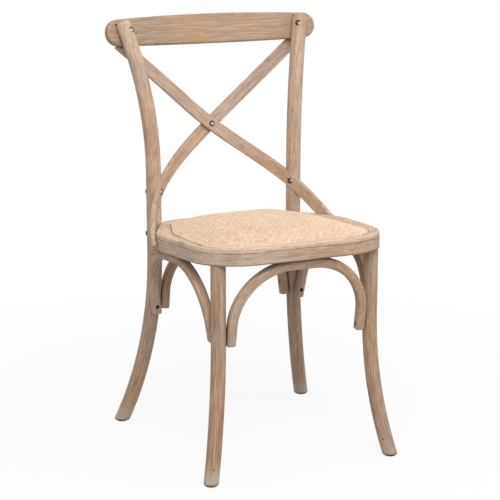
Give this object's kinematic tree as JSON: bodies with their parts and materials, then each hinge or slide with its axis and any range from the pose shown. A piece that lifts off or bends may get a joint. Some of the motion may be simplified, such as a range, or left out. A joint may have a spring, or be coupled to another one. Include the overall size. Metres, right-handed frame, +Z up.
{
  "type": "dining chair",
  "caption": "Bentwood dining chair with a crossed-slat back, a bowed crest rail, hoop braces under the seat and a crowned woven rattan seat, in pale limed oak.",
  "frame": {"origin": "on the floor, under the middle of the chair's box", "axes": "+Z up, the sitter faces -Y, left is -X for someone who looks at the chair's front"},
  "size_m": [0.482, 0.494, 0.8772],
  "materials": {
    "oak": "limed and weathered, matt",
    "plywood": "raw",
    "rattan": "woven strips, satin",
    "nickel": "dull nickel",
    "screw_steel": "dark",
    "glide_plastic": "black, matt"
  },
  "bodies": {
    "root": {"back_post_left": "oak", "back_post_right": "oak", "front_leg_left": "oak", "front_leg_right": "oak", "crest_rail": "oak", "cross_slat_front": "oak", "cross_slat_rear": "oak", "seat_frame": "oak", "seat_rim": "oak", "arch_front": "oak", "arch_rear": "oak", "arch_left": "oak", "arch_right": "oak", "seat_board": "plywood", "rattan_panel": "rattan", "crossing_rivet": "nickel", "slat_rivets": "nickel", "crest_rivets": "nickel", "seat_bolts": "nickel", "arch_leg_screws": "screw_steel", "arch_seat_screws": "screw_steel", "slat_seat_screws": "screw_steel", "slat_rail_screws": "screw_steel", "board_screws": "screw_steel", "glide_nails": "screw_steel", "foot_glides": "glide_plastic"}
  },
  "joints": []
}
